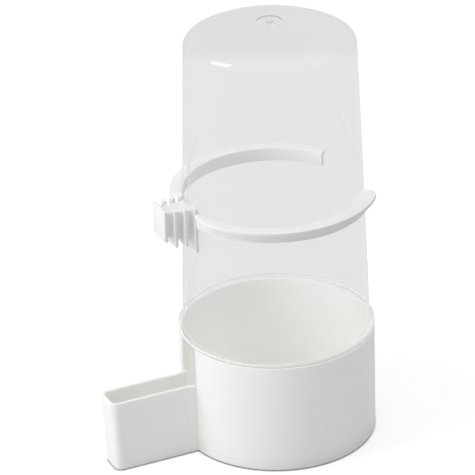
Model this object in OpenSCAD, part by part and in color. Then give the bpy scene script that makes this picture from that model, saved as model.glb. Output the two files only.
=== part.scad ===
// Drinking fountain for a bird cage.
// A clear tank stands mouth down in a round white cup. A narrow trough at the front of the cup
// holds the water, and a clip ring on the tank carries a comb that wedges between the cage's bars.
// Millimetres, +Z up. The origin is on the cup's axis, in the plane that the cup stands on.
// The trough and the comb point along -Y.

/* [Cup] */
// Outer diameter of the cup
cup_d = 66; // [58:0.5:76]
// Height of the cup's top edge above the base
cup_h = 39; // [34:0.5:48]
// Thickness of the cup's side wall
cup_wall = 1.3; // [1:0.1:2]
// Thickness of the floor of the cup and the trough
floor_t = 1.6; // [1.2:0.1:2.5]
// Radius of the cup's bottom edge
cup_edge_r = 1.2; // [0.5:0.1:2]

/* [Trough] */
// Outer width of the trough, and of the slot above it in the cup's wall
trough_w = 10.8; // [9:0.2:16]
// Height of the trough's rim above the base
trough_h = 25.6; // [18:0.2:30]
// Length of the trough beyond the cup's wall, along its rim
trough_len = 30.2; // [18:0.2:42]
// Thickness of the trough's walls
trough_wall = 1.2; // [0.9:0.1:2]
// Radius of the trough's two outer corners
trough_corner_r = 2.6; // [2.2:0.1:4]
// Angle at which the trough's end wall leans out
trough_draft = 2.2; // [0:0.1:4]
// Length of the thicker root of the trough, beyond the cup's wall
root_len = 2; // [1:0.1:4]
// Step in each side wall where the root ends
root_step = 0.25; // [0.1:0.05:0.6]

/* [Tank] */
// Height of the tank's top above the cup's edge
tank_h = 110; // [90:1:130]
// Thickness of the tank's wall
tank_wall = 1.6; // [1:0.1:2]
// How much narrower the tank is at its shoulder than at its collar, in diameter
tank_taper = 6.6; // [4:0.2:10]
// Radius of the tank's shoulder
shoulder_r = 2.6; // [2.2:0.1:5]
// Height of the domed top above the centre of the shoulder's curve
dome_h = 8.5; // [7:0.1:12]
// Thickness of the collar that rests on the cup's edge
collar_t = 1.4; // [1:0.1:2.5]
// Height of the tank's mouth above the base, which sets the water level
mouth_z = 12; // [6:0.5:16]
// Clearance all round between the tank's skirt and the cup
skirt_gap = 0.2; // [0.1:0.05:0.4]
// Diameter of the moulding dimple at the middle of the top
dimple_d = 8.4; // [5:0.2:12]
// Depth of the dimple below the highest point
dimple_depth = 0.6; // [0.3:0.1:1]
// Diameter of the moulding stub in the dimple
stub_d = 2.4; // [1:0.2:4]

/* [Clip ring] */
// Height of the ring's top above the cup's edge
ring_rise = 50.3; // [40:0.1:75]
// Height of the ring's band
band_h = 4.8; // [4:0.2:9]
// Thickness of the ring's band
band_t = 1.8; // [1.2:0.1:2.6]
// Reach of the flange at the top of the ring, out from the tank
flange_w = 4.5; // [3.2:0.1:8]
// Thickness of the flange
flange_t = 1.3; // [1:0.1:2.5]
// Radius of the flange's outer corners at the ring's two ends
flange_corner_r = 3; // [1:0.1:3]
// Angle of the ring's opening, at the back
opening_angle = 64; // [40:1:90]
// Clearance all round between the ring and the tank
ring_gap = 0.1; // [0.05:0.05:0.3]

/* [Comb] */
// Number of ribs between the comb's pad and its end plate
rib_count = 2; // [1:1:4]
// Thickness of each rib, of the pad and of the end plate
rib_t = 1.15; // [0.9:0.05:2]
// Width of the slots that take the cage's bars
slot_w = 2.1; // [1.6:0.1:4]
// Width of the end plate
end_plate_w = 9.8; // [8:0.2:12]
// Extra width of each rib over the one before it, from the end plate to the pad
rib_growth = 1.5; // [0:0.1:2.4]
// Height of the comb above the ring's top
comb_rise = 2; // [0.2:0.1:3]
// Height of the end plate
end_plate_h = 10.9; // [10:0.1:15]
// Height of the ribs
rib_h = 13.1; // [11:0.1:18]
// Height of the pad against the tank
pad_h = 15.8; // [12:0.1:22]
// How far the ribs' tips and the end plate rise above the comb's web
tip_rise = 1.4; // [0.4:0.1:2]
// Width of the comb's web at the end plate
web_end_w = 5.2; // [3:0.1:7]
// Width of the comb's web at the pad
web_pad_w = 8.4; // [5:0.1:9.4]
// Depth of the web's underside below the comb's top, at the end plate
web_end_h = 9.7; // [7:0.1:11]
// Depth of the web's underside below the comb's top, at the pad
web_pad_h = 12.6; // [9:0.1:16]

/* [Hidden] */
$fn = 96;
ARC_STEPS = 8;
CUT = 1;

cup_r = cup_d / 2;
cup_bore_r = cup_r - cup_wall;
trough_end_y = -(cup_r + trough_len);

skirt_r = cup_bore_r - skirt_gap;
tank_top_z = cup_h + tank_h;
shoulder_z = tank_top_z - dome_h;
shoulder_x = skirt_r - tank_taper / 2 - shoulder_r;
dome_r = (pow(shoulder_x, 2) + pow(dome_h, 2) - pow(shoulder_r, 2)) / (2 * (dome_h - shoulder_r));
dome_z = tank_top_z - dome_r;
dome_angle = atan2(shoulder_z - dome_z, shoulder_x);

ring_top_z = cup_h + ring_rise;
ring_bottom_z = ring_top_z - band_h;
flange_r = tank_radius(ring_top_z) + ring_gap + flange_w;
ring_span = 360 - opening_angle;

comb_top_z = ring_top_z + comb_rise;
web_top_z = comb_top_z - tip_rise;
comb_pitch = rib_t + slot_w;
pad_back = tank_radius(comb_top_z - pad_h) + ring_gap;
pad_front = pad_back + rib_t;
pad_w = end_plate_w + rib_growth * (rib_count + 1);
comb_end = pad_front + comb_pitch * (rib_count + 1);

CUP_COLOUR = [0.95, 0.94, 0.91];
TANK_COLOUR = [0.87, 0.89, 0.89, 0.45];
RING_COLOUR = [0.95, 0.95, 0.93];

// Outer radius of the tank's tapered wall at a height
function tank_radius(z) = skirt_r - tank_taper / 2 * (z - cup_h) / (shoulder_z - cup_h);

// Points along an arc, from one angle to another
function arc(centre, r, from, to) = [
    for (i = [0:ARC_STEPS])
        let (a = from + (to - from) * i / ARC_STEPS)
            centre + r * [cos(a), sin(a)]
];

// Half section of the tank above its collar, this far inside its outer face
function tank_section(inset) = concat(
    [[tank_radius(cup_h + collar_t) - inset, cup_h + collar_t]],
    arc([shoulder_x, shoulder_z], shoulder_r - inset, 0, dome_angle),
    arc([0, dome_z], dome_r - inset, dome_angle, 90)
);

// A list in the opposite order
function reversed(list) = [for (i = [len(list) - 1:-1:0]) list[i]];

// Cup: a round wall and floor, with a rounded bottom edge
module cup_outside() {
    rotate_extrude()
        polygon(concat(
            [[0, cup_h], [0, 0]],
            arc([cup_r - cup_edge_r, cup_edge_r], cup_edge_r, -90, 0),
            [[cup_r, cup_h]]
        ));
}

// Plan of the trough this far inside its outer faces, from its end to the cup's axis.
// The end lies at y = 0.
module trough_plan(inset) {
    half_w = trough_w / 2 - inset;
    corner_r = trough_corner_r - inset;
    polygon(concat(
        arc([-half_w + corner_r, inset + corner_r], corner_r, 180, 270),
        arc([half_w - corner_r, inset + corner_r], corner_r, 270, 360),
        [[half_w, -trough_end_y], [-half_w, -trough_end_y]]
    ));
}

// Upright block on the trough's plan, leaning with its end wall, between two heights
module trough_block(inset, from_z, to_z) {
    intersection() {
        translate([0, trough_end_y, trough_h])
            rotate([trough_draft, 0, 0])
                translate([0, 0, -2 * trough_h])
                    linear_extrude(4 * trough_h)
                        trough_plan(inset);
        translate([-trough_w, 2 * trough_end_y, from_z])
            cube([2 * trough_w, -2 * trough_end_y, to_z - from_z]);
    }
}

// Thicker root of the trough, against the cup's wall
module trough_root() {
    root_w = trough_w + 2 * root_step;
    translate([-root_w / 2, -cup_r - root_len, 0])
        cube([root_w, root_len + cup_wall, trough_h]);
}

module base_cup() {
    color(CUP_COLOUR)
        difference() {
            union() {
                cup_outside();
                trough_block(0, 0, trough_h);
                trough_root();
            }
            translate([0, 0, floor_t])
                cylinder(r = cup_bore_r, h = cup_h);
            trough_block(trough_wall, floor_t, trough_h + CUT);
            translate([-trough_w / 2, -cup_r - CUT, trough_h])
                cube([trough_w, cup_r + CUT, cup_h]);
        }
}

module water_tank() {
    outside = concat(
        [[skirt_r, mouth_z], [skirt_r, cup_h], [cup_r, cup_h], [cup_r, cup_h + collar_t]],
        tank_section(0)
    );
    inside = concat(
        [[skirt_r - tank_wall, mouth_z], [skirt_r - tank_wall, cup_h]],
        tank_section(tank_wall)
    );
    dimple_z = tank_top_z - dimple_depth;
    color(TANK_COLOUR) {
        difference() {
            rotate_extrude()
                polygon(concat(outside, reversed(inside)));
            translate([0, 0, dimple_z])
                cylinder(d = dimple_d, h = dimple_depth + CUT);
        }
        translate([0, 0, dimple_z - tank_wall / 2])
            cylinder(d = stub_d, h = tank_wall / 2 + dimple_depth / 2);
    }
}

// Section of the ring: a band along the tank's wall with a flange at its top
module ring_section() {
    bore_top = tank_radius(ring_top_z) + ring_gap;
    bore_bottom = tank_radius(ring_bottom_z) + ring_gap;
    polygon([
        [bore_bottom, ring_bottom_z],
        [bore_bottom + band_t, ring_bottom_z],
        [bore_bottom + band_t, ring_top_z - flange_t],
        [flange_r, ring_top_z - flange_t],
        [flange_r, ring_top_z],
        [bore_top, ring_top_z]
    ]);
}

// What is cut off one end of the flange to round its outer corner.
// That end of the ring lies along +X, and the ring runs from it clockwise.
module flange_corner_cut() {
    corner_x = sqrt(pow(flange_r - flange_corner_r, 2) - pow(flange_corner_r, 2));
    translate([0, 0, ring_bottom_z - CUT])
        linear_extrude(band_h + 2 * CUT)
            difference() {
                translate([corner_x, -flange_corner_r])
                    square([flange_r - corner_x + CUT, flange_corner_r + CUT]);
                translate([corner_x, -flange_corner_r])
                    circle(r = flange_corner_r);
            }
}

// Upright plate across the comb, its outer face this far from the tank's axis
module comb_plate(outer_face, width, height) {
    translate([-width / 2, -outer_face, comb_top_z - height])
        cube([width, rib_t, height]);
}

// Plan of the comb's web, tapered from the pad to the end plate
module web_plan() {
    polygon([
        [-web_pad_w / 2, -pad_back],
        [web_pad_w / 2, -pad_back],
        [web_end_w / 2, -comb_end],
        [-web_end_w / 2, -comb_end]
    ]);
}

// Web of the comb, deeper at the pad than at the end plate
module comb_web() {
    intersection() {
        translate([0, 0, comb_top_z - pad_h])
            linear_extrude(pad_h - tip_rise)
                web_plan();
        translate([-web_pad_w, 0, 0])
            rotate([90, 0, 90])
                linear_extrude(2 * web_pad_w)
                    polygon([
                        [-pad_back, comb_top_z],
                        [-pad_back, comb_top_z - web_pad_h],
                        [-comb_end, comb_top_z - web_end_h],
                        [-comb_end, comb_top_z]
                    ]);
    }
}

// Pad and ribs of the comb, cut down to the web between their tips
module comb_ribs() {
    difference() {
        union() {
            comb_plate(pad_front, pad_w, pad_h);
            for (i = [1:rib_count])
                comb_plate(pad_front + comb_pitch * i, pad_w - rib_growth * i, rib_h);
        }
        translate([0, 0, web_top_z])
            linear_extrude(tip_rise + CUT) {
                web_plan();
                translate([-web_pad_w / 2, -pad_front])
                    square([web_pad_w, rib_t + CUT]);
            }
    }
}

module clip_ring() {
    color(RING_COLOUR) {
        difference() {
            rotate([0, 0, 90 + opening_angle / 2])
                rotate_extrude(angle = ring_span)
                    ring_section();
            for (side = [0, 1])
                mirror([side, 0, 0])
                    rotate([0, 0, 90 - opening_angle / 2])
                        flange_corner_cut();
            translate([-flange_r, -2 * flange_r, ring_bottom_z - CUT])
                cube([2 * flange_r, 2 * flange_r - pad_front, band_h + 2 * CUT]);
        }
        comb_web();
        comb_ribs();
        comb_plate(comb_end, end_plate_w, end_plate_h);
    }
}

base_cup();
water_tank();
clip_ring();
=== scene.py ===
"""Finished look of a drinking fountain for a bird cage, on a plain studio stage.

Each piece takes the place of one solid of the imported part: the cup with its trough, the clear tank,
and the clip ring with its comb. Metres, in the part's own frame: +Z up, trough and comb along -Y.
"""

import math
from contextlib import contextmanager

import bmesh
import bpy
from bpy.props import FloatProperty, FloatVectorProperty, IntProperty, PointerProperty
from mathutils import Matrix, Vector


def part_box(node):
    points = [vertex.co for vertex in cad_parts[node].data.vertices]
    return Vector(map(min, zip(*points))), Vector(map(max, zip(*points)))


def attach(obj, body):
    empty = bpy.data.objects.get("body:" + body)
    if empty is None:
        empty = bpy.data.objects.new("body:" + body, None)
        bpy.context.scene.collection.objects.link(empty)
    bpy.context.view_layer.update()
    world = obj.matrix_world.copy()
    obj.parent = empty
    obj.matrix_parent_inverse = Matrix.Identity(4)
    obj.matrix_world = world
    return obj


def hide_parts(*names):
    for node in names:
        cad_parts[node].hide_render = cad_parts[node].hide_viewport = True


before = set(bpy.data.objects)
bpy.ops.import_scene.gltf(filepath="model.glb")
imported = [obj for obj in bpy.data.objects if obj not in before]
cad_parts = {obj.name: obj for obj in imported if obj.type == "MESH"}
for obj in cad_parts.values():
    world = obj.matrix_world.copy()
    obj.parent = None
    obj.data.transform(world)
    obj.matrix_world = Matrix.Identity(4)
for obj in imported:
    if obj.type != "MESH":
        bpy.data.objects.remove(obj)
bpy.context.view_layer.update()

bl_info = {
    "name": "Cage Drinking Fountain",
    "version": (1, 0, 0),
    "blender": (4, 5, 0),
    "location": "3D View > Sidebar > Fountain",
    "description": "Models the cup, the clear tank and the clip ring of a cage fountain, and its stage",
    "category": "Object",
}

X, Y, Z = range(3)
UP = Vector((0, 0, 1))
MM = 0.001
# Distance within which two places count as one, and overlap of solids that are joined
NEAR = 0.00001
JOIN = 0.03 * MM
# Faces once round the axis, and round the open ring
ROUND_STEPS = 160
RING_STEPS = 296
# Faces across each rounding of an outline
CORNER_STEPS = 4
# Sharpest edge that is shaded smooth, and how far a square corner may miss a right angle, in radians
SMOOTH_ANGLE = math.radians(38)
SQUARE_WITHIN = 0.2
# Rise of a face's normal: most on an upright face, most on a steep one, least on a level one
UPRIGHT_RISE = 0.02
STEEP_RISE = 0.9
LEVEL_RISE = 0.98
# Least sideways part of the normal of a face that looks straight sideways
STRAIGHT = 0.99
# Shares of a size: end of the trough's block in the cup, cut of its well into the cup's fillet, finer rim
BLOCK_END = 0.9
WELL_CUT = 0.8
FINER = 0.8

# Range that most values of a noise lie in
NOISE_LOW = 0.3
NOISE_HIGH = 0.7
# White plastic: tone of its clouds, how its gloss varies, its grain, its bend, and reach of each colour
CLOUD_TONE = 0.985
SMOOTHER = 0.04
ROUGHER = 0.06
GRAIN_STRENGTH = 0.12
GRAIN_HEIGHT = 0.04 * MM
WHITE_BEND = 1.5
LIGHT_REACH = (1, 1, 0.9)
# Clear plastic: its polish, and shares of its roughness along the flow lines
POLISH = 0.9
CLEAREST = 0.7
DULLEST = 1.4
# Share of its distance over which the floor dims through glass, to each side
DIMMING_WIDTH = 0.03

# Lamps: their places to the left of the middle, towards the camera and up, and their sizes, in metres
KEY_PLACE = (0.8, 0.28, 0.42)
KEY_SIZE = (0.4, 0.9)
GLINT_PLACE = (0.54, -0.45, 1.08)
GLINT_SIZE = (0.28, 0.28)
TOP_PLACE = (0, 0, 0.9)
TOP_SIZE = (0.8, 0.8)

CUP_LOW, CUP_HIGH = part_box("base_cup")
TANK_LOW, TANK_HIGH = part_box("water_tank")
RING_LOW, RING_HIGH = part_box("clip_ring")


# Settings that a user would change

def length(name, description, metres):
    """A length, kept in metres."""
    return FloatProperty(
        name=name, description=description, default=metres, min=0, precision=5,
        unit="LENGTH", subtype="DISTANCE",
    )


def turn(name, description, degrees):
    """An angle, given here in degrees."""
    return FloatProperty(
        name=name, description=description, default=math.radians(degrees), unit="ROTATION", subtype="ANGLE"
    )


def tint(name, description, value):
    """A colour."""
    return FloatVectorProperty(
        name=name, description=description, default=value, size=3, min=0, max=1, subtype="COLOR"
    )


def grey(name, description, value):
    """A colour with no hue."""
    return tint(name, description, (value, value, value))


def share(name, description, value):
    """A number from 0 to 1."""
    return FloatProperty(name=name, description=description, default=value, min=0, max=1, subtype="FACTOR")


def amount(name, description, value, unit="NONE"):
    """A number from 0 up."""
    return FloatProperty(name=name, description=description, default=value, min=0, unit=unit)


class CupSettings(bpy.types.PropertyGroup):
    """Sizes of the cup and its trough"""

    radius: length("Radius", "Outer radius of the cup", CUP_HIGH.x)
    height: length("Height", "Height of the cup's top edge", CUP_HIGH.z)
    wall: length("Wall", "Thickness of the cup's wall", 1.3 * MM)
    floor: length("Floor", "Thickness of the floor", 1.6 * MM)
    foot_round: length("Foot rounding", "Radius of the cup's bottom edge", 1.2 * MM)
    rim_round: length("Rim rounding", "Radius of the cup's top edges", 0.2 * MM)
    seat_gap: length("Seat gap", "Air between the cup's edge and the tank's collar", 0.06 * MM)
    well_round: length("Well rounding", "Radius between the floor and the wall inside the cup", 5 * MM)
    trough_width: length("Trough width", "Outer width of the trough and of the slot above it", 10.8 * MM)
    trough_height: length("Trough height", "Height of the trough's rim", 25.6 * MM)
    trough_end: length("Trough end", "Reach of the trough's rim from the cup's axis", -CUP_LOW.y)
    trough_wall: length("Trough wall", "Thickness of the trough's walls", 1.2 * MM)
    trough_corner: length("Trough corner", "Radius of the trough's upright outer corners", 2.6 * MM)
    trough_foot: length("Trough foot", "Radius of the trough's bottom edges", 0.9 * MM)
    trough_rim: length("Trough rim", "Radius of the trough's rim", 0.3 * MM)
    trough_draft: turn("Trough draft", "Angle at which the trough's end wall leans out", 2.2)
    root_length: length("Root length", "Length of the thicker root of the trough", 2 * MM)
    root_step: length("Root step", "Step in each side wall where the root ends", 0.25 * MM)
    slot_round: length("Slot rounding", "Radius of the slot's upright edges", 0.25 * MM)


class TankSettings(bpy.types.PropertyGroup):
    """Sizes of the clear tank"""

    top: length("Top", "Height of the dome's highest point", 149 * MM)
    mouth: length("Mouth", "Height of the tank's mouth", TANK_LOW.z)
    skirt_radius: length("Skirt radius", "Outer radius of the skirt inside the cup", 31.5 * MM)
    wall: length("Wall", "Thickness of the tank's wall", 1.6 * MM)
    taper: length("Taper", "How much smaller the radius is at the shoulder than at the collar", 3.3 * MM)
    shoulder: length("Shoulder", "Radius of the shoulder's curve", 2.6 * MM)
    dome: length("Dome", "Height of the dome above the centre of the shoulder's curve", 8.5 * MM)
    collar_radius: length("Collar radius", "Outer radius of the collar", TANK_HIGH.x)
    collar_seat: length("Collar seat", "Height of the collar's underside", CUP_HIGH.z)
    collar: length("Collar", "Thickness of the collar", 1.4 * MM)
    dimple_radius: length("Dimple radius", "Radius of the moulding dimple in the top", 4.2 * MM)
    dimple_depth: length("Dimple depth", "Depth of the dimple", 0.6 * MM)
    dimple_round: length("Dimple rounding", "Rounding of the dimple's top edge", 0.15 * MM)
    dimple_foot: length("Dimple foot", "Rounding between the dimple's floor and its side", 0.25 * MM)
    stub_radius: length("Stub radius", "Radius of the moulding stub in the dimple", 1.2 * MM)
    stub_round: length("Stub rounding", "Rounding of the stub's top edge", 0.15 * MM)
    stub_foot: length("Stub foot", "Rounding between the stub and the dimple's floor", 0.12 * MM)
    collar_root: length("Collar root", "Rounding between the wall and the collar's top", 0.3 * MM)
    collar_round: length("Collar rounding", "Rounding of the collar's outer edges", 0.4 * MM)
    skirt_root: length("Skirt root", "Rounding between the collar's underside and the skirt", 0.2 * MM)
    mouth_round: length("Mouth rounding", "Rounding of the mouth's edges", 0.5 * MM)


class RingSettings(bpy.types.PropertyGroup):
    """Sizes of the clip ring and its comb"""

    top: length("Top", "Height of the ring's top", 89.3 * MM)
    gap: length("Gap", "Air between the ring and the tank", 0.1 * MM)
    band_height: length("Band height", "Height of the ring's band", 4.8 * MM)
    band: length("Band", "Thickness of the ring's band", 1.8 * MM)
    flange_radius: length("Flange radius", "Outer radius of the flange", RING_HIGH.x)
    flange: length("Flange", "Thickness of the flange", 1.3 * MM)
    flange_corner: length("Flange corner", "Radius of the flange's corners at the ring's ends", 3 * MM)
    flange_root: length("Flange root", "Rounding between the band and the flange's underside", 0.4 * MM)
    flange_under: length("Flange under edge", "Rounding of the flange's lower edge", 0.2 * MM)
    flange_upper: length("Flange upper edge", "Rounding of the flange's upper edge", 0.15 * MM)
    band_round: length("Band rounding", "Rounding of the band's lower outer edge", 0.35 * MM)
    bore_under: length("Bore under edge", "Rounding of the bore's lower edge", 0.3 * MM)
    bore_upper: length("Bore upper edge", "Rounding of the bore's upper edge", 0.25 * MM)
    opening: turn("Opening", "Angle of the ring's opening, at the back", 64)
    comb_top: length("Comb top", "Height of the comb's top", RING_HIGH.z)
    comb_end: length("Comb end", "Reach of the end plate from the axis", -RING_LOW.y)
    rib_count: IntProperty(name="Ribs", description="Ribs between pad and end plate", default=2, min=1)
    rib: length("Rib", "Thickness of each plate of the comb", 1.15 * MM)
    slot: length("Slot", "Width of the slots that take the cage's bars", 2.1 * MM)
    end_width: length("End width", "Width of the end plate", 9.8 * MM)
    rib_growth: length("Rib growth", "Extra width of each plate over the one before it", 1.5 * MM)
    end_height: length("End height", "Height of the end plate", 10.9 * MM)
    rib_height: length("Rib height", "Height of the ribs", 13.1 * MM)
    pad_height: length("Pad height", "Height of the pad against the tank", 15.8 * MM)
    web_end_width: length("Web width at the end", "Width of the web at the end plate", 5.2 * MM)
    web_pad_width: length("Web width at the pad", "Width of the web at the pad", 8.4 * MM)
    web_end_height: length("Web depth at the end", "Depth of the web's underside at its end", 9.7 * MM)
    web_pad_height: length("Web depth at the pad", "Depth of the web's underside at the pad", 12.6 * MM)
    tip_rise: length("Tip rise", "How far the ribs' tips and the end plate rise above the web", 1.4 * MM)
    web_round: length("Web rounding", "Radius of the web's top edges", 0.8 * MM)
    edge_round: length("Edge rounding", "Radius of the plates' edges", 0.2 * MM)


class FinishSettings(bpy.types.PropertyGroup):
    """Colours and surface of the plastics"""

    cup: tint("Cup", "Colour of the cup's plastic", (0.96, 0.965, 0.93))
    ring: tint("Ring", "Colour of the ring's plastic", (0.95, 0.952, 0.93))
    tank: grey("Tank", "Colour that white light takes on through the tank's wall", 0.995)
    # Collar edge: painted shade, a dark tint on the collar's lower outer rounding for the dark line where
    # the collar sits on the cup
    collar: grey("Collar edge", "Colour that white light takes on through the collar's lower edge", 0.35)
    frost: share("Frost", "Share of light that the collar's outer face scatters", 0.65)
    # Dimple: painted shade, a dark tint on the dimple's steep sides for the dark marks that refraction makes
    # there
    dimple: grey("Dimple", "Colour that white light takes on through the dimple's sides", 0.4)
    white_roughness: share("White roughness", "Roughness of the white plastics", 0.34)
    cup_depth: length("Cup depth", "How deep light enters the cup's plastic", 1.5 * MM)
    ring_depth: length("Ring depth", "How deep light enters the ring's plastic", 0.15 * MM)
    clear_roughness: share("Clear roughness", "Roughness of the clear plastic", 0.04)
    haze: share("Haze", "Share of light that one face of the clear plastic scatters", 0.035)
    wall_bend: amount("Wall bend", "Index of refraction of the tank's even wall", 1.001)
    edge_bend: amount("Edge bend", "Index of refraction at the tank's small edges", 1.45)


class StageSettings(bpy.types.PropertyGroup):
    """Floor, light and camera"""

    floor_size: length("Floor size", "Side of the floor", 8)
    sky: amount("Sky", "Strength of the light from all round", 0.46)
    bounce: share("Floor bounce", "How much light the floor throws back on the object", 0.78)
    paint: share("Floor paint", "Share of the lamps' light that the floor shows to the camera", 0.4)
    glow: share("Floor glow", "Brightness that the floor shows to the camera without lamps", 0.7)
    gleam: share("Gleam", "Brightness of the white background in reflections", 0.775)
    pale: share("Pale", "Brightness of the white background through glass", 0.8)
    dim: share("Dim", "Brightness of the far floor and the sky through glass", 0.72)
    reach: length("Reach", "Distance at which the floor dims through glass", 313 * MM)
    # Contact: width of the painted contact shadow, a dark line on the floor where the object stands
    contact: length("Contact", "Width of the dark line where the object meets the floor", 0.8 * MM)
    key: amount("Key", "Power of the large lamp at the left", 4.8, unit="POWER")
    top: amount("Top", "Power of the lamp overhead", 2.7, unit="POWER")
    glint: amount("Glint", "Power of the lamp that shows only in reflections", 0.9, unit="POWER")
    azimuth: turn("Azimuth", "Direction that the camera looks from", 65.96)
    elevation: turn("Elevation", "Height of the camera above the horizon", 26.75)
    roll: turn("Roll", "Tilt of the camera's picture", -1.7)
    distance: length("Distance", "Distance of the camera from its target", 1.1)
    target_height: length("Target height", "Height of the camera's target", 71 * MM)
    target_left: length("Target left", "How far the target lies to the left of the axis", 12.25 * MM)
    lens: amount("Lens", "Focal length of the camera, in millimetres", 251.1, unit="CAMERA")


class FountainSettings(bpy.types.PropertyGroup):
    """All settings of the fountain"""

    cup: PointerProperty(type=CupSettings)
    tank: PointerProperty(type=TankSettings)
    ring: PointerProperty(type=RingSettings)
    finish: PointerProperty(type=FinishSettings)
    stage: PointerProperty(type=StageSettings)


# Modelling steps that the pieces share

def select_only(piece):
    """Makes one object the only selected one, and the active one."""
    bpy.ops.object.select_all(action="DESELECT")
    piece.select_set(True)
    bpy.context.view_layer.objects.active = piece


@contextmanager
def editing(piece):
    """Edit mode on one object, with all of it selected at the start."""
    select_only(piece)
    bpy.ops.object.mode_set(mode="EDIT")
    bpy.ops.mesh.select_mode(type="VERT")
    bpy.ops.mesh.select_all(action="SELECT")
    yield
    bpy.ops.object.mode_set(mode="OBJECT")


def pick(piece, kind, test):
    """Selects the vertices, edges or faces that pass the test, and nothing else."""
    bpy.ops.mesh.select_mode(type=kind)
    bpy.ops.mesh.select_all(action="DESELECT")
    shape = bmesh.from_edit_mesh(piece.data)
    shape.normal_update()
    for part in {"VERT": shape.verts, "EDGE": shape.edges, "FACE": shape.faces}[kind]:
        if test(part):
            part.select_set(True)
    bmesh.update_edit_mesh(piece.data)


def lies_at(edge, axis, value):
    """True if both ends of an edge have this coordinate."""
    return all(abs(end.co[axis] - value) < NEAR for end in edge.verts)


def square_corner(edge):
    """True for an outward edge between two faces at about a right angle."""
    if len(edge.link_faces) != 2 or not edge.is_convex:
        return False
    return abs(edge.calc_face_angle() - math.pi / 2) < SQUARE_WITHIN


def arc(centre, radius, start, end, steps):
    """Outline corners along an arc, without the first one."""
    angles = [start + (end - start) * i / steps for i in range(1, steps + 1)]
    return [(centre[0] + radius * math.cos(a), centre[1] + radius * math.sin(a), 0) for a in angles]


def draw_outline(name, corners, at=0.0, closed=False):
    """Draws edges through corners (radius, height, rounding) in the half plane at one angle."""
    side = Vector((math.cos(at), math.sin(at), 0))
    points = [side * radius + UP * height for radius, height, rounding in corners]
    bpy.ops.object.select_all(action="DESELECT")
    bpy.ops.mesh.primitive_plane_add(size=MM)
    outline = bpy.context.object
    outline.name = name
    with editing(outline):
        bpy.ops.mesh.merge(type="CENTER")
        bpy.ops.transform.translate(value=points[0])
        for here, there in zip(points, points[1:]):
            bpy.ops.mesh.extrude_region_move(TRANSFORM_OT_translate={"value": there - here})
        if closed:
            ends = points[0], points[-1]
            pick(outline, "VERT", lambda v: min((v.co - p).length for p in ends) < NEAR)
            bpy.ops.mesh.edge_face_add()
        for point, corner in zip(points, corners):
            if corner[2] > 0:
                pick(outline, "VERT", lambda v: (v.co - point).length < NEAR)
                bpy.ops.mesh.bevel(affect="VERTICES", offset=corner[2], segments=CORNER_STEPS)
    return outline


def turn_on_axis(outline):
    """Spins an outline once round the axis into a closed solid."""
    with editing(outline):
        bpy.ops.mesh.spin(steps=ROUND_STEPS, angle=math.tau, center=(0, 0, 0), axis=UP)
        bpy.ops.mesh.select_all(action="SELECT")
        bpy.ops.mesh.remove_doubles(threshold=NEAR)
        bpy.ops.mesh.normals_make_consistent(inside=False)
    return outline


def add_block(name, low, high):
    """A box between two corners, to be shaped further."""
    low = Vector(low)
    high = Vector(high)
    bpy.ops.object.select_all(action="DESELECT")
    bpy.ops.mesh.primitive_cube_add(size=1, location=(low + high) / 2, scale=high - low)
    block = bpy.context.object
    block.name = name
    bpy.ops.object.transform_apply(location=True, rotation=True, scale=True)
    return block


def round_edges(piece, radius, segments, test):
    """In edit mode, rounds the edges that pass the test."""
    pick(piece, "EDGE", test)
    bpy.ops.mesh.bevel(affect="EDGES", offset=radius, segments=segments, profile=0.5)


def combine(piece, other, operation):
    """Adds another solid to a piece or cuts it away, and removes the other one."""
    step = piece.modifiers.new("Combine", "BOOLEAN")
    step.operation = operation
    step.solver = "EXACT"
    step.object = other
    select_only(piece)
    bpy.ops.object.modifier_apply(modifier=step.name)
    bpy.data.objects.remove(other)


def finish_piece(piece, material, body, node):
    """Smooths a piece, and puts it on its body in place of its solid."""
    select_only(piece)
    bpy.ops.object.shade_smooth_by_angle(angle=SMOOTH_ANGLE)
    piece.data.materials.clear()
    piece.data.materials.append(material)
    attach(piece, body)
    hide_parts(node)


# Materials

def new_material(name):
    """An empty node material, with its nodes, its links and its output."""
    material = bpy.data.materials.new(name)
    material.use_nodes = True
    nodes = material.node_tree.nodes
    nodes.clear()
    output = nodes.new("ShaderNodeOutputMaterial")
    return material, nodes, material.node_tree.links, output


def set_or_link(links, value, socket):
    """Gives a socket a number, or links another socket to it."""
    if isinstance(value, bpy.types.NodeSocket):
        links.new(value, socket)
    else:
        socket.default_value = value


def add_noise(nodes, links, scale, detail, stretch=(1, 1, 1)):
    """Noise in object coordinates, with so many features to the metre along each axis."""
    place = nodes.new("ShaderNodeTexCoord")
    mapping = nodes.new("ShaderNodeMapping")
    mapping.inputs["Scale"].default_value = stretch
    noise = nodes.new("ShaderNodeTexNoise")
    noise.inputs["Scale"].default_value = scale
    noise.inputs["Detail"].default_value = detail
    links.new(place.outputs["Object"], mapping.inputs["Vector"])
    links.new(mapping.outputs["Vector"], noise.inputs["Vector"])
    return noise.outputs["Fac"]


def add_range(nodes, links, value, low, high):
    """Spreads a noise value over a range whose ends are numbers or sockets."""
    spread = nodes.new("ShaderNodeMapRange")
    spread.inputs["From Min"].default_value = NOISE_LOW
    spread.inputs["From Max"].default_value = NOISE_HIGH
    links.new(value, spread.inputs["Value"])
    set_or_link(links, low, spread.inputs["To Min"])
    set_or_link(links, high, spread.inputs["To Max"])
    return spread.outputs["Result"]


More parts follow.
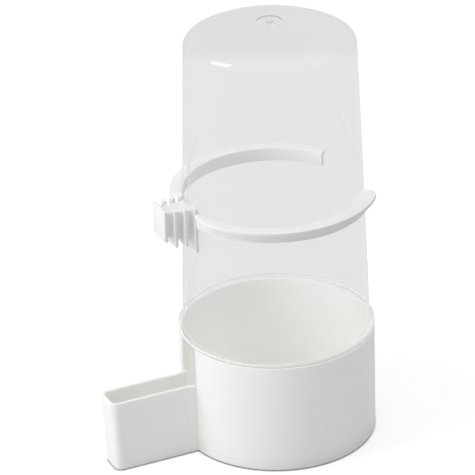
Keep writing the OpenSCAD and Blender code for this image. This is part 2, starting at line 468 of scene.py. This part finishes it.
def moulded_skin_group():
    """Node group for moulded plastic: cloudy colour, uneven gloss and fine grain."""
    group = bpy.data.node_groups.get("Moulded Skin")
    if group:
        return group
    group = bpy.data.node_groups.new("Moulded Skin", "ShaderNodeTree")
    sockets = group.interface
    sockets.new_socket("Colour", in_out="INPUT", socket_type="NodeSocketColor")
    sockets.new_socket("Cloud", in_out="INPUT", socket_type="NodeSocketColor")
    sockets.new_socket("Smoothest", in_out="INPUT", socket_type="NodeSocketFloat")
    sockets.new_socket("Roughest", in_out="INPUT", socket_type="NodeSocketFloat")
    sockets.new_socket("Colour", in_out="OUTPUT", socket_type="NodeSocketColor")
    sockets.new_socket("Roughness", in_out="OUTPUT", socket_type="NodeSocketFloat")
    sockets.new_socket("Height", in_out="OUTPUT", socket_type="NodeSocketFloat")
    nodes = group.nodes
    links = group.links
    entry = nodes.new("NodeGroupInput")
    result = nodes.new("NodeGroupOutput")
    clouds = add_noise(nodes, links, scale=70, detail=3)
    grain = add_noise(nodes, links, scale=2600, detail=2)
    patches = add_noise(nodes, links, scale=240, detail=4)
    mix = nodes.new("ShaderNodeMix")
    mix.data_type = "RGBA"
    links.new(add_range(nodes, links, clouds, 0, 1), mix.inputs["Factor"])
    links.new(entry.outputs["Colour"], mix.inputs["A"])
    links.new(entry.outputs["Cloud"], mix.inputs["B"])
    links.new(mix.outputs["Result"], result.inputs["Colour"])
    rough = add_range(nodes, links, patches, entry.outputs["Smoothest"], entry.outputs["Roughest"])
    links.new(rough, result.inputs["Roughness"])
    links.new(grain, result.inputs["Height"])
    return group


def white_plastic(name, colour, roughness, depth):
    """Satin white plastic with a fine moulded grain, which light enters to a depth."""
    material, nodes, links, output = new_material(name)
    skin = nodes.new("ShaderNodeGroup")
    skin.node_tree = moulded_skin_group()
    skin.inputs["Colour"].default_value = (*colour, 1)
    skin.inputs["Cloud"].default_value = (*(CLOUD_TONE * c for c in colour), 1)
    skin.inputs["Smoothest"].default_value = roughness - SMOOTHER
    skin.inputs["Roughest"].default_value = roughness + ROUGHER
    bump = nodes.new("ShaderNodeBump")
    bump.inputs["Strength"].default_value = GRAIN_STRENGTH
    bump.inputs["Distance"].default_value = GRAIN_HEIGHT
    shader = nodes.new("ShaderNodeBsdfPrincipled")
    shader.inputs["IOR"].default_value = WHITE_BEND
    shader.inputs["Subsurface Weight"].default_value = 1
    shader.inputs["Subsurface Radius"].default_value = LIGHT_REACH
    shader.inputs["Subsurface Scale"].default_value = depth
    links.new(skin.outputs["Colour"], shader.inputs["Base Color"])
    links.new(skin.outputs["Roughness"], shader.inputs["Roughness"])
    links.new(skin.outputs["Height"], bump.inputs["Height"])
    links.new(bump.outputs["Normal"], shader.inputs["Normal"])
    links.new(shader.outputs["BSDF"], output.inputs["Surface"])
    return material


def clear_plastic(name, colour, bend, haze, roughness):
    """Clear plastic with faint upright flow lines and a little haze, which lets lamp light through."""
    material, nodes, links, output = new_material(name)
    flow = add_noise(nodes, links, scale=160, detail=2, stretch=(1, 1, 0.05))
    shader = nodes.new("ShaderNodeBsdfPrincipled")
    shader.inputs["Base Color"].default_value = (*colour, 1)
    shader.inputs["IOR"].default_value = bend
    shader.inputs["Transmission Weight"].default_value = 1 - haze
    shader.inputs["Coat Roughness"].default_value = roughness
    facing = nodes.new("ShaderNodeNewGeometry")
    polish = nodes.new("ShaderNodeMapRange")
    polish.inputs["To Min"].default_value = POLISH
    polish.inputs["To Max"].default_value = 0
    links.new(facing.outputs["Backfacing"], polish.inputs["Value"])
    links.new(polish.outputs["Result"], shader.inputs["Coat Weight"])
    rough = add_range(nodes, links, flow, CLEAREST * roughness, DULLEST * roughness)
    links.new(rough, shader.inputs["Roughness"])
    path = nodes.new("ShaderNodeLightPath")
    lit = nodes.new("ShaderNodeMath")
    lit.operation = "MAXIMUM"
    links.new(path.outputs["Is Shadow Ray"], lit.inputs[0])
    links.new(path.outputs["Is Diffuse Ray"], lit.inputs[1])
    open_way = nodes.new("ShaderNodeBsdfTransparent")
    open_way.inputs["Color"].default_value = (1, 1, 1, 1)
    mix = nodes.new("ShaderNodeMixShader")
    links.new(lit.outputs["Value"], mix.inputs["Fac"])
    links.new(shader.outputs["BSDF"], mix.inputs[1])
    links.new(open_way.outputs["BSDF"], mix.inputs[2])
    links.new(mix.outputs["Shader"], output.inputs["Surface"])
    return material


def tint_outside(material, shade):
    """Paints shade on a clear plastic: a tint where it is seen from outside, and its own colour from inside.
    """
    nodes = material.node_tree.nodes
    links = material.node_tree.links
    shader = nodes["Principled BSDF"]
    facing = nodes.new("ShaderNodeNewGeometry")
    mix = nodes.new("ShaderNodeMix")
    mix.data_type = "RGBA"
    mix.inputs["A"].default_value = (*shade, 1)
    mix.inputs["B"].default_value = shader.inputs["Base Color"].default_value
    links.new(facing.outputs["Backfacing"], mix.inputs["Factor"])
    links.new(mix.outputs["Result"], shader.inputs["Base Color"])


def by_ray(nodes, links, plain, camera, glossy, through):
    """A value each for light on the object, the camera's rays, reflections and rays through glass."""
    path = nodes.new("ShaderNodeLightPath")
    value = plain
    for ray, seen in (("Camera", camera), ("Glossy", glossy), ("Transmission", through)):
        mix = nodes.new("ShaderNodeMix")
        links.new(path.outputs[f"Is {ray} Ray"], mix.inputs["Factor"])
        set_or_link(links, value, mix.inputs["A"])
        set_or_link(links, seen, mix.inputs["B"])
        value = mix.outputs["Result"]
    return value


def far_dimming(nodes, links, pale, dim, reach):
    """Brightness of the floor through glass, which falls a little beyond a distance from the object."""
    place = nodes.new("ShaderNodeTexCoord")
    distance = nodes.new("ShaderNodeVectorMath")
    distance.operation = "LENGTH"
    links.new(place.outputs["Object"], distance.inputs["Vector"])
    fall = nodes.new("ShaderNodeMapRange")
    fall.interpolation_type = "SMOOTHSTEP"
    fall.inputs["From Min"].default_value = (1 - DIMMING_WIDTH) * reach
    fall.inputs["From Max"].default_value = (1 + DIMMING_WIDTH) * reach
    fall.inputs["To Min"].default_value = pale
    fall.inputs["To Max"].default_value = dim
    links.new(distance.outputs["Value"], fall.inputs["Value"])
    return fall.outputs["Result"]


def painted_contact_shade(nodes, links, width, full):
    """A painted contact shadow: a brightness that falls to nothing in the narrow gap where the object meets
    the floor.
    """
    gap = nodes.new("ShaderNodeAmbientOcclusion")
    gap.inputs["Distance"].default_value = width
    shade = nodes.new("ShaderNodeMapRange")
    shade.inputs["To Max"].default_value = full
    links.new(gap.outputs["AO"], shade.inputs["Value"])
    return shade.outputs["Result"]


def floor_paint(stage):
    """Floor that shows white with a soft shadow and a painted contact shadow, pale through glass, and throws
    light back as a grey one.
    """
    material, nodes, links, output = new_material("pale_floor")
    diffuse = nodes.new("ShaderNodeBsdfDiffuse")
    # The floor's paint and glow darken at the object's foot: a painted contact shadow
    paint = painted_contact_shade(nodes, links, stage.contact, stage.paint)
    paint = by_ray(nodes, links, plain=stage.bounce, camera=paint, glossy=0, through=0)
    links.new(paint, diffuse.inputs["Color"])
    glow = nodes.new("ShaderNodeEmission")
    through = far_dimming(nodes, links, stage.pale, stage.dim, stage.reach)
    shine = painted_contact_shade(nodes, links, stage.contact, stage.glow)
    shine = by_ray(nodes, links, plain=0, camera=shine, glossy=stage.gleam, through=through)
    links.new(shine, glow.inputs["Strength"])
    both = nodes.new("ShaderNodeAddShader")
    links.new(diffuse.outputs["BSDF"], both.inputs[0])
    links.new(glow.outputs["Emission"], both.inputs[1])
    links.new(both.outputs["Shader"], output.inputs["Surface"])
    return material


def studio_sky(stage):
    """Soft light from all round, which shows as white, and dimmer through glass."""
    world = bpy.data.worlds.new("studio_sky")
    world.use_nodes = True
    nodes = world.node_tree.nodes
    links = world.node_tree.links
    nodes.clear()
    background = nodes.new("ShaderNodeBackground")
    background.inputs["Color"].default_value = (1, 1, 1, 1)
    strength = by_ray(nodes, links, plain=stage.sky, camera=1, glossy=stage.gleam, through=stage.dim)
    links.new(strength, background.inputs["Strength"])
    output = nodes.new("ShaderNodeOutputWorld")
    links.new(background.outputs["Background"], output.inputs["Surface"])
    return world


# Pieces

def tank_radius(tank, height):
    """Outer radius of the tank's tapered wall at a height."""
    shoulder_height = tank.top - tank.dome
    rise = (height - tank.collar_seat) / (shoulder_height - tank.collar_seat)
    return tank.skirt_radius - tank.taper * rise


def trough_block(cup):
    """Solid outside of the trough, with a leaning end wall, rounded edges and a thicker root."""
    half = cup.trough_width / 2
    inner_end = -BLOCK_END * cup.radius
    lean = cup.trough_height * math.tan(cup.trough_draft)
    past_corner = -cup.trough_end + lean + NEAR
    root_front = -cup.radius - cup.root_length
    block = add_block("trough", (-half, -cup.trough_end, 0), (half, inner_end, cup.trough_height))
    with editing(block):
        pick(block, "VERT", lambda v: v.co.y < past_corner and v.co.z < NEAR)
        bpy.ops.transform.translate(value=(0, lean, 0))
        round_edges(block, cup.trough_corner, segments=8, test=lambda e: (
            all(v.co.y < past_corner for v in e.verts) and lies_at(e, X, e.verts[0].co.x)
        ))
        round_edges(block, cup.trough_foot, segments=5, test=lambda e: (
            lies_at(e, Z, 0) and not lies_at(e, Y, inner_end)
        ))
        round_edges(block, cup.trough_rim, segments=4, test=lambda e: (
            lies_at(e, Z, cup.trough_height) and not lies_at(e, Y, inner_end)
        ))
        bpy.ops.mesh.select_all(action="SELECT")
        bpy.ops.mesh.bisect(plane_co=(0, root_front, 0), plane_no=(0, 1, 0))
        for side in (-1, 1):
            pick(block, "FACE", lambda f: (
                f.normal.x * side > STRAIGHT and f.calc_center_median().y > root_front
            ))
            step = (side * cup.root_step, 0, 0)
            bpy.ops.mesh.extrude_region_move(TRANSFORM_OT_translate={"value": step})
    return block


def trough_well(cup):
    """Inside of the trough and of its way into the cup, to be cut away."""
    half = cup.trough_width / 2 - cup.trough_wall
    inner_end = -cup.radius + cup.wall + WELL_CUT * cup.well_round
    rim_end = -cup.trough_end + cup.trough_wall
    top = cup.height + cup.wall
    slope = math.tan(cup.trough_draft)
    well = add_block("well", (-half, rim_end, cup.floor), (half, inner_end, top))
    with editing(well):
        for height in (cup.floor, top):
            pick(well, "VERT", lambda v: v.co.y < inner_end - NEAR and abs(v.co.z - height) < NEAR)
            bpy.ops.transform.translate(value=(0, (cup.trough_height - height) * slope, 0))
        round_edges(well, cup.trough_corner - cup.trough_wall, segments=6, test=lambda e: (
            all(v.co.y < inner_end - NEAR for v in e.verts) and lies_at(e, X, e.verts[0].co.x)
        ))
        round_edges(well, cup.trough_foot, segments=4, test=lambda e: (
            lies_at(e, Z, cup.floor) and not lies_at(e, Y, inner_end)
        ))
    return well


class FOUNTAIN_OT_add_cup(bpy.types.Operator):
    """Models the cup and its trough in place of the solid"""

    bl_idname = "fountain.add_cup"
    bl_label = "Add Cup"

    def execute(self, context):
        settings = context.scene.fountain
        cup = settings.cup
        rim = cup.height - cup.seat_gap
        bore = cup.radius - cup.wall
        piece = turn_on_axis(draw_outline("cup_with_trough", [
            (0, 0, 0),
            (cup.radius, 0, cup.foot_round),
            (cup.radius, rim, cup.rim_round),
            (0, rim, 0),
        ]))
        inside = turn_on_axis(draw_outline("bore", [
            (0, cup.floor, 0),
            (bore, cup.floor, cup.well_round),
            (bore, rim - cup.rim_round, cup.rim_round / 2),
            (bore + cup.rim_round, rim, 0),
            (bore + cup.rim_round, rim + cup.wall, 0),
            (0, rim + cup.wall, 0),
        ]))
        half = cup.trough_width / 2
        slot_depth = 3 * cup.wall
        slot = add_block(
            "slot",
            (-half, -cup.radius - cup.wall, cup.trough_height),
            (half, -cup.radius + slot_depth, cup.height + cup.wall),
        )
        combine(piece, trough_block(cup), "UNION")
        combine(piece, inside, "DIFFERENCE")
        combine(piece, trough_well(cup), "DIFFERENCE")
        combine(piece, slot, "DIFFERENCE")
        with editing(piece):
            round_edges(piece, FINER * cup.trough_rim, segments=3, test=lambda e: (
                lies_at(e, Z, cup.trough_height) and square_corner(e)
            ))
            round_edges(piece, cup.slot_round, segments=3, test=lambda e: (
                any(lies_at(e, X, side * half) for side in (-1, 1))
                and lies_at(e, Y, e.verts[0].co.y)
                and min(v.co.z for v in e.verts) > cup.trough_height - NEAR
                and square_corner(e)
            ))
        finish = settings.finish
        plastic = white_plastic("cup_plastic", finish.cup, finish.white_roughness, finish.cup_depth)
        finish_piece(piece, plastic, "cup", "base_cup")
        return {"FINISHED"}


def on_collar_edge(tank, face, lowest, highest):
    """True for a face of the outer edge of the tank's collar whose normal rises within limits."""
    middle = face.calc_center_median()
    in_collar = middle.xy.length > tank.skirt_radius and middle.z > tank.collar_seat - NEAR
    return in_collar and lowest < face.normal.z < highest


def on_dimple(tank, face):
    """True for a steep face of the dimple in the tank's top."""
    middle = face.calc_center_median()
    dimple_floor = tank.top - tank.dimple_depth
    in_dimple = middle.xy.length < tank.dimple_radius + NEAR and middle.z > dimple_floor - NEAR
    return in_dimple and abs(face.normal.z) < STEEP_RISE


class FOUNTAIN_OT_add_tank(bpy.types.Operator):
    """Models the clear tank in place of the solid"""

    bl_idname = "fountain.add_tank"
    bl_label = "Add Tank"

    def execute(self, context):
        settings = context.scene.fountain
        tank = settings.tank
        shoulder_height = tank.top - tank.dome
        shoulder_x = tank.skirt_radius - tank.taper - tank.shoulder
        span = shoulder_x ** 2 + tank.dome ** 2 - tank.shoulder ** 2
        dome_radius = span / (2 * (tank.dome - tank.shoulder))
        dome_centre = (0, tank.top - dome_radius)
        shoulder_centre = (shoulder_x, shoulder_height)
        meeting = math.atan2(shoulder_height - dome_centre[1], shoulder_x)
        shoulder_start = -0.1
        dimple_floor = tank.top - tank.dimple_depth
        stub_top = dimple_floor + tank.dimple_depth / 2
        dimple_edge = math.acos(tank.dimple_radius / dome_radius)
        collar_top = tank.collar_seat + tank.collar
        wall_foot = tank_radius(tank, collar_top)
        bore = tank.skirt_radius - tank.wall
        outside = [
            (0, stub_top, 0),
            (tank.stub_radius, stub_top, tank.stub_round),
            (tank.stub_radius, dimple_floor, tank.stub_foot),
            (tank.dimple_radius, dimple_floor, tank.dimple_foot),
            (tank.dimple_radius, dome_centre[1] + dome_radius * math.sin(dimple_edge), tank.dimple_round),
            *arc(dome_centre, dome_radius, dimple_edge, meeting, steps=14),
            *arc(shoulder_centre, tank.shoulder, meeting, 0, steps=10),
            (wall_foot, collar_top, tank.collar_root),
            (tank.collar_radius, collar_top, tank.collar_round),
            (tank.collar_radius, tank.collar_seat, tank.collar_round),
            (tank.skirt_radius, tank.collar_seat, tank.skirt_root),
            (tank.skirt_radius, tank.mouth, tank.mouth_round),
        ]
        inside = [
            (bore, tank.mouth, tank.mouth_round),
            (bore, tank.collar_seat, 0),
            (wall_foot - tank.wall, collar_top, 0),
            *arc(shoulder_centre, tank.shoulder - tank.wall, shoulder_start, meeting, steps=6),
            *arc(dome_centre, dome_radius - tank.wall, meeting, math.pi / 2, steps=12),
        ]
        piece = turn_on_axis(draw_outline("tank_shell", outside + inside))
        finish = settings.finish
        roughness = finish.clear_roughness
        plastic = clear_plastic("tank_plastic", finish.tank, finish.wall_bend, finish.haze, roughness)
        finish_piece(piece, plastic, "tank", "water_tank")
        details = [
            ("collar_plastic", finish.frost, None,
             lambda f: on_collar_edge(tank, f, -UPRIGHT_RISE, LEVEL_RISE)),
            # The collar's lower outer rounding gets painted shade: a dark tint for the line where the collar
            # meets the cup
            ("painted_shade_collar_edge", finish.haze, finish.collar,
             lambda f: on_collar_edge(tank, f, -LEVEL_RISE, -UPRIGHT_RISE)),
            # The dimple's steep sides get painted shade: a dark tint for their refraction marks, on top of
            # real refraction from the edge bend
            ("painted_shade_dimple_plastic", finish.haze, finish.dimple, lambda f: on_dimple(tank, f)),
        ]
        with editing(piece):
            for index, (name, haze, shade, chosen) in enumerate(details, 1):
                plastic = clear_plastic(name, finish.tank, finish.edge_bend, haze, roughness)
                if shade:
                    tint_outside(plastic, shade)
                piece.data.materials.append(plastic)
                pick(piece, "FACE", chosen)
                piece.active_material_index = index
                bpy.ops.object.material_slot_assign()
        return {"FINISHED"}


def flange_reach(ring, front, angle):
    """Radius of the flange's edge at an angle: flat at the front, rounded at the ring's two ends."""
    reach = ring.flange_radius
    if math.sin(angle) < 0:
        reach = min(reach, front / -math.sin(angle))
    from_end = abs(math.remainder(angle - math.pi / 2, math.tau)) - ring.opening / 2
    corner = ring.flange_corner
    out = math.sqrt((ring.flange_radius - corner) ** 2 - corner ** 2)
    middle = Vector((out, corner))
    side = Vector((math.cos(from_end), math.sin(from_end)))
    if from_end < math.asin(corner / (ring.flange_radius - corner)):
        along = middle.dot(side)
        reach = min(reach, along + math.sqrt(max(0, corner ** 2 - middle.length_squared + along ** 2)))
    return reach


def open_ring(ring, tank):
    """Open ring: a band along the tank's wall, with a flange at its top."""
    bottom = ring.top - ring.band_height
    bore_top = tank_radius(tank, ring.top) + ring.gap
    bore_bottom = tank_radius(tank, bottom) + ring.gap
    band_radius = bore_bottom + ring.band
    start = math.pi / 2 - ring.opening / 2
    span = math.tau - ring.opening
    front = tank_radius(tank, ring.comb_top - ring.pad_height) + ring.gap + ring.rib
    edge_zone = ring.flange_radius - 0.6 * MM
    band_zone = band_radius - 0.5 * MM
    least_edge = bore_bottom + 0.4 * MM
    cover = 0.1 * MM
    piece = draw_outline("ring_with_comb", [
        (bore_bottom, bottom, ring.bore_under),
        (band_radius, bottom, ring.band_round),
        (band_radius, ring.top - ring.flange, ring.flange_root),
        (ring.flange_radius, ring.top - ring.flange, ring.flange_under),
        (ring.flange_radius, ring.top, ring.flange_upper),
        (bore_top, ring.top, ring.bore_upper),
    ], at=start, closed=True)
    with editing(piece):
        bpy.ops.mesh.spin(steps=RING_STEPS, angle=span, center=(0, 0, 0), axis=UP)
        bpy.ops.mesh.select_all(action="SELECT")
        bpy.ops.mesh.remove_doubles(threshold=NEAR)
        for end in (-1, 1):
            pick(piece, "EDGE", lambda e: e.is_boundary and all(v.co.x * end > 0 for v in e.verts))
            bpy.ops.mesh.edge_face_add()
        bpy.ops.mesh.select_all(action="SELECT")
        bpy.ops.mesh.normals_make_consistent(inside=False)
        shape = bmesh.from_edit_mesh(piece.data)
        for vertex in shape.verts:
            place = vertex.co
            radius = math.hypot(place.x, place.y)
            reach = flange_reach(ring, front, math.atan2(place.y, place.x))
            if radius > edge_zone:
                wanted = max(radius - ring.flange_radius + reach, least_edge)
            elif radius > band_zone:
                wanted = min(radius, reach - cover)
            else:
                wanted = radius
            place.x *= wanted / radius
            place.y *= wanted / radius
        bmesh.update_edit_mesh(piece.data)
    return piece


def comb_plate(ring, name, outer_face, width, height):
    """One upright plate of the comb, with rounded edges."""
    low = (-width / 2, -outer_face, ring.comb_top - height)
    high = (width / 2, -outer_face + ring.rib, ring.comb_top)
    plate = add_block(name, low, high)
    with editing(plate):
        round_edges(plate, ring.edge_round, segments=3, test=lambda e: True)
    return plate


def comb_wedge(ring, pad_back, name, outer, inner, bottom, top):
    """A block over the plan of the comb's web, between two distances from the axis and two heights."""
    def web_width(reach):
        along = (ring.comb_end - reach) / (ring.comb_end - pad_back)
        return ring.web_end_width + (ring.web_pad_width - ring.web_end_width) * along

    half = web_width(inner) / 2
    block = add_block(name, (-half, -outer, bottom), (half, -inner, top))
    with editing(block):
        pick(block, "VERT", lambda v: abs(v.co.y + outer) < NEAR)
        bpy.ops.transform.resize(
            value=(web_width(outer) / web_width(inner), 1, 1), center_override=(0, -outer, top)
        )
    return block


def comb_web(ring, pad_back):
    """Web of the comb: rounded along its top, narrower and shallower at the end plate."""
    outer = ring.comb_end - ring.rib / 2
    bottom = ring.comb_top - ring.web_pad_height
    top = ring.comb_top - ring.tip_rise
    web = comb_wedge(ring, pad_back, "web", outer, pad_back + JOIN, bottom, top)
    with editing(web):
        pick(web, "VERT", lambda v: abs(v.co.y + outer) < NEAR and v.co.z < top - NEAR)
        bpy.ops.transform.translate(value=(0, 0, ring.web_pad_height - ring.web_end_height))
        round_edges(web, ring.web_round, segments=6, test=lambda e: (
            lies_at(e, Z, top) and abs(e.verts[0].co.y - e.verts[1].co.y) > ring.slot
        ))
    return web


class FOUNTAIN_OT_add_ring(bpy.types.Operator):
    """Models the clip ring and its comb in place of the solid"""

    bl_idname = "fountain.add_ring"
    bl_label = "Add Clip Ring"

    def execute(self, context):
        settings = context.scene.fountain
        ring = settings.ring
        tank = settings.tank
        pad_back = tank_radius(tank, ring.comb_top - ring.pad_height) + ring.gap
        pad_front = pad_back + ring.rib
        pitch = ring.rib + ring.slot
        pad_width = ring.end_width + ring.rib_growth * (ring.rib_count + 1)
        web_top = ring.comb_top - ring.tip_rise
        comb = comb_plate(ring, "pad", pad_front, pad_width, ring.pad_height)
        for i in range(1, ring.rib_count + 1):
            width = pad_width - ring.rib_growth * i
            combine(comb, comb_plate(ring, "rib", pad_front + pitch * i, width, ring.rib_height), "UNION")
        between_tips = comb_wedge(
            ring, pad_back, "between_tips", ring.comb_end - ring.rib, pad_back - ring.rib,
            web_top - JOIN, ring.comb_top + ring.rib,
        )
        combine(comb, between_tips, "DIFFERENCE")
        combine(comb, comb_web(ring, pad_back), "UNION")
        end_plate = comb_plate(ring, "end_plate", ring.comb_end, ring.end_width, ring.end_height)
        combine(comb, end_plate, "UNION")
        piece = open_ring(ring, tank)
        combine(piece, comb, "UNION")
        finish = settings.finish
        plastic = white_plastic("ring_plastic", finish.ring, finish.white_roughness, finish.ring_depth)
        finish_piece(piece, plastic, "ring", "clip_ring")
        return {"FINISHED"}


# Stage

def camera_axes(stage):
    """Right, up and back of the camera, before its roll."""
    right = Vector((math.cos(stage.azimuth), math.sin(stage.azimuth), 0))
    back = Vector((
        math.sin(stage.azimuth) * math.cos(stage.elevation),
        -math.cos(stage.azimuth) * math.cos(stage.elevation),
        math.sin(stage.elevation),
    ))
    return right, back.cross(right), back


def add_lamp(name, place, target, size, power, only_reflected):
    """A rectangular lamp that faces a point, and lights surfaces or shows only in reflections."""
    bpy.ops.object.select_all(action="DESELECT")
    bpy.ops.object.light_add(type="AREA", location=place)
    lamp = bpy.context.object
    lamp.name = name
    lamp.rotation_euler = (target - place).to_track_quat("-Z", "Y").to_euler()
    lamp.data.shape = "RECTANGLE"
    lamp.data.size, lamp.data.size_y = size
    lamp.data.energy = power
    lamp.visible_diffuse = not only_reflected
    lamp.visible_glossy = only_reflected
    lamp.visible_transmission = False


class FOUNTAIN_OT_set_stage(bpy.types.Operator):
    """Adds the floor, the lamps, the sky and the camera"""

    bl_idname = "fountain.set_stage"
    bl_label = "Set Stage"

    def execute(self, context):
        scene = context.scene
        stage = scene.fountain.stage
        bpy.ops.object.select_all(action="DESELECT")
        bpy.ops.mesh.primitive_plane_add(size=stage.floor_size, location=(0, 0, -NEAR))
        floor = bpy.context.object
        floor.name = "floor"
        floor.data.materials.append(floor_paint(stage))

        right, up, back = camera_axes(stage)
        front = Vector((back.x, back.y, 0)).normalized()
        middle = UP * stage.target_height
        lamps = (
            ("key_lamp", KEY_PLACE, KEY_SIZE, stage.key, False),
            ("glint_lamp", GLINT_PLACE, GLINT_SIZE, stage.glint, True),
            ("top_lamp", TOP_PLACE, TOP_SIZE, stage.top, False),
        )
        for name, (left, near, high), size, power, only_reflected in lamps:
            place = middle - right * left + front * near + UP * high
            add_lamp(name, place, middle, size, power, only_reflected)

        scene.world = studio_sky(stage)
        scene.view_settings.view_transform = "Standard"
        scene.cycles.max_bounces = 40
        scene.cycles.diffuse_bounces = 32
        scene.cycles.glossy_bounces = 16
        scene.cycles.transmission_bounces = 24
        scene.cycles.transparent_max_bounces = 48
        target = middle - right * stage.target_left
        roll = Matrix.Rotation(stage.roll, 3, back)
        bpy.ops.object.camera_add(location=target + back * stage.distance)
        camera = bpy.context.object
        camera.name = "photo_camera"
        axes = Matrix((roll @ right, roll @ up, back)).transposed()
        camera.rotation_euler = axes.to_euler()
        camera.data.sensor_width = 36
        camera.data.lens = stage.lens
        camera.data.clip_end = 50
        scene.camera = camera
        return {"FINISHED"}


# Panel and registration

class FOUNTAIN_PT_panel(bpy.types.Panel):
    """Lists the steps that build the fountain"""

    bl_idname = "FOUNTAIN_PT_panel"
    bl_label = "Cage Fountain"
    bl_space_type = "VIEW_3D"
    bl_region_type = "UI"
    bl_category = "Fountain"

    def draw(self, context):
        for step in STEPS:
            self.layout.operator(step.bl_idname)


STEPS = (FOUNTAIN_OT_add_cup, FOUNTAIN_OT_add_tank, FOUNTAIN_OT_add_ring, FOUNTAIN_OT_set_stage)
CLASSES = (
    CupSettings, TankSettings, RingSettings, FinishSettings, StageSettings, FountainSettings,
    *STEPS, FOUNTAIN_PT_panel,
)


def register():
    """Adds the settings, the operators and the panel."""
    for kind in CLASSES:
        bpy.utils.register_class(kind)
    bpy.types.Scene.fountain = PointerProperty(type=FountainSettings)


def unregister():
    """Takes them out again."""
    del bpy.types.Scene.fountain
    for kind in reversed(CLASSES):
        bpy.utils.unregister_class(kind)


def main():
    """Builds the fountain and its stage."""
    register()
    bpy.ops.fountain.add_cup()
    bpy.ops.fountain.add_tank()
    bpy.ops.fountain.add_ring()
    bpy.ops.fountain.set_stage()


if __name__ == "__main__":
    main()
